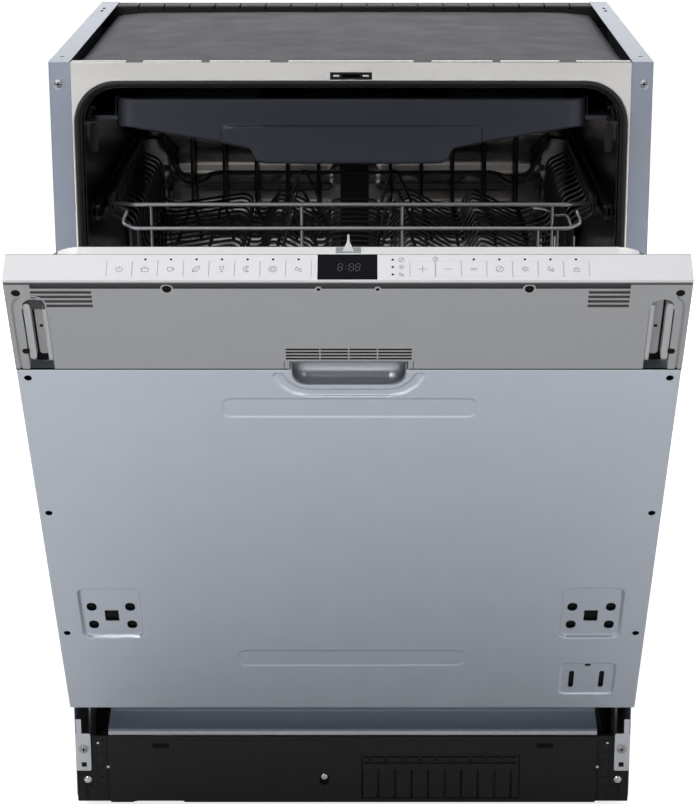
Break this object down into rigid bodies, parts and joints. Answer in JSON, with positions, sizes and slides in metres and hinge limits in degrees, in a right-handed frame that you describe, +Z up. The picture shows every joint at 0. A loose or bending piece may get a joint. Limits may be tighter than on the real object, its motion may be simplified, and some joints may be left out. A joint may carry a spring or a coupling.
{
  "type": "built-in dishwasher",
  "caption": "Fully integrated built-in dishwasher with a drop-down door, sliding baskets, a cutlery tray, spray arms and levelling feet.",
  "frame": {"origin": "on the floor, midway between the frontmost and rearmost points of the object with its door ajar", "axes": "+X to the right seen from the front, +Y to the rear, +Z up"},
  "size_m": [0.598, 0.8518, 0.815],
  "materials": {
    "painted_steel": "satin",
    "galvanised_steel": "satin",
    "stainless_steel": "satin",
    "bright_steel": "polished",
    "rail_steel": "satin",
    "coated_wire": "satin",
    "slate_steel": "satin",
    "black_plastic": "matt",
    "grey_plastic": "matt",
    "slate_plastic": "satin",
    "white_plastic": "satin",
    "light_plastic": "satin",
    "metallic_plastic": "gloss",
    "display_glass": "gloss",
    "black_rubber": "matt",
    "felt": "matt"
  },
  "bodies": {
    "cabinet": {"base_tray": "black_plastic", "plinth_front": "black_plastic", "plinth_flap": "black_plastic", "side_panel_left": "painted_steel", "side_panel_right": "painted_steel", "rear_panel": "galvanised_steel", "rear_trim": "black_plastic", "tub": "stainless_steel", "tub_gasket": "black_rubber", "top_mat": "felt", "latch_striker": "black_plastic", "lower_front_panel": "slate_steel", "hinge_plates": "galvanised_steel", "door_springs": "bright_steel", "frame_screws": "bright_steel", "sump": "black_plastic", "circulation_pump": "black_plastic", "softener": "white_plastic", "inlet_valve": "white_plastic", "spray_feed": "black_plastic", "rack_guides": "rail_steel"},
    "door": {"door_outer_panel": "painted_steel", "control_housing": "grey_plastic", "control_panel": "white_plastic", "display_window": "display_glass", "handle_cup": "metallic_plastic", "door_liner": "stainless_steel", "detergent_dispenser": "grey_plastic", "door_latch": "light_plastic", "hinge_arms": "galvanised_steel"},
    "filter": {"filter": "grey_plastic"},
    "salt_cap": {"salt_cap": "grey_plastic"},
    "front_foot_left": {"front_foot_left": "black_plastic"},
    "front_foot_right": {"front_foot_right": "black_plastic"},
    "rear_foot": {"rear_foot": "black_plastic"},
    "upper_rails": {"upper_rails": "rail_steel"},
    "upper_rack": {"upper_rack": "coated_wire"},
    "upper_spray_arm": {"upper_spray_arm": "black_plastic"},
    "lower_spray_arm": {"lower_spray_arm": "black_plastic"},
    "cutlery_tray": {"cutlery_tray": "slate_plastic"},
    "lower_rack": {"lower_rack": "coated_wire"},
    "lower_front_wheels": {"lower_front_wheels": "grey_plastic"},
    "lower_rear_wheels": {"lower_rear_wheels": "grey_plastic"},
    "dispenser_lid": {"dispenser_lid": "grey_plastic"},
    "rinse_aid_cap": {"rinse_aid_cap": "black_plastic"},
    "key_01": {"key_01": "white_plastic"},
    "key_02": {"key_02": "white_plastic"},
    "key_03": {"key_03": "white_plastic"},
    "key_04": {"key_04": "white_plastic"},
    "key_05": {"key_05": "white_plastic"},
    "key_06": {"key_06": "white_plastic"},
    "key_07": {"key_07": "white_plastic"},
    "key_08": {"key_08": "white_plastic"},
    "key_09": {"key_09": "white_plastic"},
    "key_10": {"key_10": "white_plastic"},
    "key_11": {"key_11": "white_plastic"},
    "key_12": {"key_12": "white_plastic"},
    "key_13": {"key_13": "white_plastic"},
    "key_14": {"key_14": "white_plastic"},
    "key_15": {"key_15": "white_plastic"}
  },
  "joints": [
    {"name": "door_hinge", "type": "hinge", "parent": "cabinet", "child": "door", "pos_m": [0, -0.05361, 0.1855], "axis": [1, 0, 0], "range_deg": [-30, 60], "stiffness_Nm_per_rad": 14, "springref_deg": -30},
    {"name": "cutlery_tray_slide", "type": "slide", "parent": "cabinet", "child": "cutlery_tray", "axis": [0, -1, 0], "range_m": [0, 0.31]},
    {"name": "upper_rail_slide", "type": "slide", "parent": "cabinet", "child": "upper_rails", "axis": [0, -1, 0], "range_m": [0, 0.2]},
    {"name": "upper_rack_slide", "type": "slide", "parent": "upper_rails", "child": "upper_rack", "axis": [0, -1, 0], "range_m": [0, 0.2]},
    {"name": "upper_spray_spin", "type": "hinge", "parent": "upper_rack", "child": "upper_spray_arm", "pos_m": [0, 0.17089, 0.49], "axis": [0, 0, 1], "continuous": true},
    {"name": "lower_spray_spin", "type": "hinge", "parent": "cabinet", "child": "lower_spray_arm", "pos_m": [0, 0.17089, 0.16], "axis": [0, 0, 1], "continuous": true},
    {"name": "lower_rack_slide", "type": "slide", "parent": "cabinet", "child": "lower_rack", "axis": [0, -1, 0], "range_m": [-0.03404, 0.06808]},
    {"name": "lower_front_wheel_spin", "type": "hinge", "parent": "lower_rack", "child": "lower_front_wheels", "pos_m": [0, 0.01686, 0.18], "axis": [1, 0, 0], "range_deg": [-131.5, 261.5]},
    {"name": "lower_rear_wheel_spin", "type": "hinge", "parent": "lower_rack", "child": "lower_rear_wheels", "pos_m": [0, 0.27686, 0.18], "axis": [1, 0, 0], "range_deg": [-131.5, 261.5]},
    {"name": "filter_twist", "type": "hinge", "parent": "cabinet", "child": "filter", "pos_m": [0, 0.17089, 0.1], "axis": [0, 0, 1], "range_deg": [0, 60]},
    {"name": "salt_cap_twist", "type": "hinge", "parent": "cabinet", "child": "salt_cap", "pos_m": [-0.165, 0.09089, 0.155], "axis": [0, 0, 1], "range_deg": [0, 90]},
    {"name": "front_foot_left_screw", "type": "slide", "parent": "cabinet", "child": "front_foot_left", "axis": [0, 0, -1], "range_m": [0, 0.03]},
    {"name": "front_foot_right_screw", "type": "slide", "parent": "cabinet", "child": "front_foot_right", "axis": [0, 0, -1], "range_m": [0, 0.03]},
    {"name": "rear_foot_screw", "type": "slide", "parent": "cabinet", "child": "rear_foot", "axis": [0, 0, -1], "range_m": [0, 0.03]},
    {"name": "dispenser_lid_slide", "type": "slide", "parent": "door", "child": "dispenser_lid", "axis": [1, 0, 0], "range_m": [0, 0.058]},
    {"name": "rinse_aid_cap_twist", "type": "hinge", "parent": "door", "child": "rinse_aid_cap", "pos_m": [0.05, -0.23377, 0.42154], "axis": [0, 0.866, 0.5], "range_deg": [0, 90]},
    {"name": "key_01_press", "type": "slide", "parent": "door", "child": "key_01", "axis": [0, 0.6157, -0.788], "range_m": [0, 0.0008], "stiffness_N_per_m": 1500},
    {"name": "key_02_press", "type": "slide", "parent": "door", "child": "key_02", "axis": [0, 0.6157, -0.788], "range_m": [0, 0.0008], "stiffness_N_per_m": 1500},
    {"name": "key_03_press", "type": "slide", "parent": "door", "child": "key_03", "axis": [0, 0.6157, -0.788], "range_m": [0, 0.0008], "stiffness_N_per_m": 1500},
    {"name": "key_04_press", "type": "slide", "parent": "door", "child": "key_04", "axis": [0, 0.6157, -0.788], "range_m": [0, 0.0008], "stiffness_N_per_m": 1500},
    {"name": "key_05_press", "type": "slide", "parent": "door", "child": "key_05", "axis": [0, 0.6157, -0.788], "range_m": [0, 0.0008], "stiffness_N_per_m": 1500},
    {"name": "key_06_press", "type": "slide", "parent": "door", "child": "key_06", "axis": [0, 0.6157, -0.788], "range_m": [0, 0.0008], "stiffness_N_per_m": 1500},
    {"name": "key_07_press", "type": "slide", "parent": "door", "child": "key_07", "axis": [0, 0.6157, -0.788], "range_m": [0, 0.0008], "stiffness_N_per_m": 1500},
    {"name": "key_08_press", "type": "slide", "parent": "door", "child": "key_08", "axis": [0, 0.6157, -0.788], "range_m": [0, 0.0008], "stiffness_N_per_m": 1500},
    {"name": "key_09_press", "type": "slide", "parent": "door", "child": "key_09", "axis": [0, 0.6157, -0.788], "range_m": [0, 0.0008], "stiffness_N_per_m": 1500},
    {"name": "key_10_press", "type": "slide", "parent": "door", "child": "key_10", "axis": [0, 0.6157, -0.788], "range_m": [0, 0.0008], "stiffness_N_per_m": 1500},
    {"name": "key_11_press", "type": "slide", "parent": "door", "child": "key_11", "axis": [0, 0.6157, -0.788], "range_m": [0, 0.0008], "stiffness_N_per_m": 1500},
    {"name": "key_12_press", "type": "slide", "parent": "door", "child": "key_12", "axis": [0, 0.6157, -0.788], "range_m": [0, 0.0008], "stiffness_N_per_m": 1500},
    {"name": "key_13_press", "type": "slide", "parent": "door", "child": "key_13", "axis": [0, 0.6157, -0.788], "range_m": [0, 0.0008], "stiffness_N_per_m": 1500},
    {"name": "key_14_press", "type": "slide", "parent": "door", "child": "key_14", "axis": [0, 0.6157, -0.788], "range_m": [0, 0.0008], "stiffness_N_per_m": 1500},
    {"name": "key_15_press", "type": "slide", "parent": "door", "child": "key_15", "axis": [0, 0.6157, -0.788], "range_m": [0, 0.0008], "stiffness_N_per_m": 1500}
  ],
  "couplings": [
    {"joint": "lower_rack_slide", "follows": "door_hinge", "m_per_rad": 0.065},
    {"joint": "lower_front_wheel_spin", "follows": "door_hinge", "ratio": 4.3333},
    {"joint": "lower_rear_wheel_spin", "follows": "door_hinge", "ratio": 4.3333}
  ]
}
